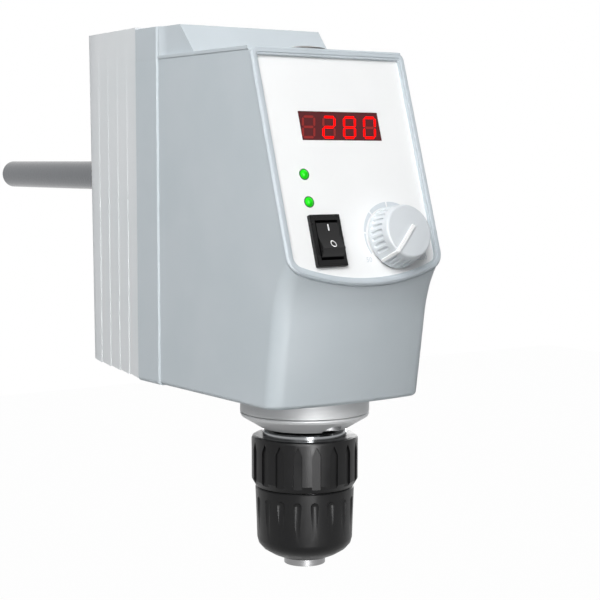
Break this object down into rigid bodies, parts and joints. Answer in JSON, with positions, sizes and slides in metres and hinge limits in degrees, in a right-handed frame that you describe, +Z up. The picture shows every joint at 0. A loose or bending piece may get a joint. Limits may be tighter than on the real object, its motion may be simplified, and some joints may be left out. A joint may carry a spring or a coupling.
{
  "type": "overhead stirrer",
  "caption": "Laboratory overhead stirrer: slanted control panel with lit display, rocker switch and speed knob, grooved keyless chuck below, support rod out of the back.",
  "frame": {"origin": "where the spindle axis crosses the height of the support rod's axis", "axes": "+Z up along the spindle, -Y towards the control panel, +Y along the support rod to the rear, +X to the user's left seen from the rear"},
  "size_m": [0.0846, 0.3834, 0.2511],
  "materials": {
    "housing_grey": "fine satin moulding",
    "cover_grey": "fine satin moulding",
    "rear_grey": "fine satin moulding",
    "frame_grey": "satin",
    "panel_white": "smooth satin film",
    "window_red": "dark red tinted window",
    "display_black": "matt",
    "lamp_green": "clear green lens",
    "board_green": "soldermask",
    "parts_dark": "mixed components",
    "black_gloss": "gloss",
    "black_plug": "satin",
    "knob_grey": "satin",
    "pointer_white": "satin",
    "brass_parts": "bright",
    "steel_parts": "turned",
    "jaw_steel": "ground",
    "cast_alloy": "as cast",
    "motor_grey": "satin",
    "pulley_alloy": "turned",
    "fan_black": "satin",
    "belt_rubber": "matt",
    "collar_alloy": "satin turned",
    "chrome_parts": "polished",
    "chuck_steel": "satin turned",
    "sleeve_black": "satin",
    "bush_black": "satin"
  },
  "bodies": {
    "body": {"front_housing": "housing_grey", "top_cover": "cover_grey", "rear_housing": "rear_grey", "panel_frame": "frame_grey", "front_panel": "panel_white", "display_window": "window_red", "display_module": "display_black", "upper_lamp": "lamp_green", "lower_lamp": "lamp_green", "control_board": "board_green", "switch_body": "black_gloss", "switch_terminals": "brass_parts", "potentiometer": "steel_parts", "pot_nut": "steel_parts", "chassis": "cast_alloy", "upper_bearing": "steel_parts", "lower_bearing": "steel_parts", "motor_can": "motor_grey", "motor_screws": "steel_parts", "drive_belt": "belt_rubber", "power_board": "board_green", "board_parts": "parts_dark", "collar": "collar_alloy", "collar_screws": "steel_parts", "skirt": "collar_alloy", "shaft_seal": "belt_rubber", "support_rod": "chrome_parts", "rod_bush": "bush_black", "rod_set_screw": "steel_parts", "mains_inlet": "black_plug", "inlet_pins": "brass_parts", "fuse_drawer": "black_plug", "housing_screws": "steel_parts"},
    "spindle_set": {"spindle": "steel_parts", "spindle_pulley": "pulley_alloy", "chuck_ring": "chrome_parts", "chuck_body": "chuck_steel", "upper_sleeve": "sleeve_black"},
    "chuck_sleeve": {"lower_sleeve": "sleeve_black", "drive_nut": "brass_parts"},
    "jaw_a": {"jaw_1": "jaw_steel"},
    "jaw_b": {"jaw_2": "jaw_steel"},
    "jaw_c": {"jaw_3": "jaw_steel"},
    "rotor": {"motor_shaft": "steel_parts", "motor_pulley": "pulley_alloy", "cooling_fan": "fan_black"},
    "knob": {"speed_knob": "knob_grey", "knob_pointer": "pointer_white", "knob_shaft": "steel_parts"},
    "rocker_set": {"rocker": "black_gloss"},
    "plug": {"spindle_plug": "black_plug"}
  },
  "joints": [
    {"name": "spindle_spin", "type": "hinge", "parent": "body", "child": "spindle_set", "pos_m": [0, 0, 0], "axis": [0, 0, 1], "continuous": true},
    {"name": "motor_spin", "type": "hinge", "parent": "body", "child": "rotor", "pos_m": [0, 0.058, 0], "axis": [0, 0, 1], "continuous": true},
    {"name": "sleeve_turn", "type": "hinge", "parent": "spindle_set", "child": "chuck_sleeve", "pos_m": [0, 0, -0.15], "axis": [0, 0, 1], "range_deg": [0, 3540]},
    {"name": "jaw_a_feed", "type": "slide", "parent": "spindle_set", "child": "jaw_a", "axis": [0, 0.2588, -0.9659], "range_m": [0, 0.0197]},
    {"name": "jaw_b_feed", "type": "slide", "parent": "spindle_set", "child": "jaw_b", "axis": [-0.2241, -0.1294, -0.9659], "range_m": [0, 0.0197]},
    {"name": "jaw_c_feed", "type": "slide", "parent": "spindle_set", "child": "jaw_c", "axis": [0.2241, -0.1294, -0.9659], "range_m": [0, 0.0197]},
    {"name": "knob_turn", "type": "hinge", "parent": "body", "child": "knob", "pos_m": [0.0171, -0.04479, -0.02569], "axis": [0, 0.9527, -0.304], "range_deg": [-12, 288]},
    {"name": "rocker_tilt", "type": "hinge", "parent": "body", "child": "rocker_set", "pos_m": [-0.0189, -0.04107, -0.02719], "axis": [1, 0, 0], "range_deg": [0, 26]},
    {"name": "plug_lift", "type": "slide", "parent": "body", "child": "plug", "axis": [0, 0, 1], "range_m": [0, 0.012]}
  ],
  "couplings": [
    {"joint": "motor_spin", "follows": "spindle_spin", "ratio": 2.6667},
    {"joint": "jaw_a_feed", "follows": "sleeve_turn", "m_per_rad": 0.00031831},
    {"joint": "jaw_b_feed", "follows": "sleeve_turn", "m_per_rad": 0.00031831},
    {"joint": "jaw_c_feed", "follows": "sleeve_turn", "m_per_rad": 0.00031831}
  ]
}
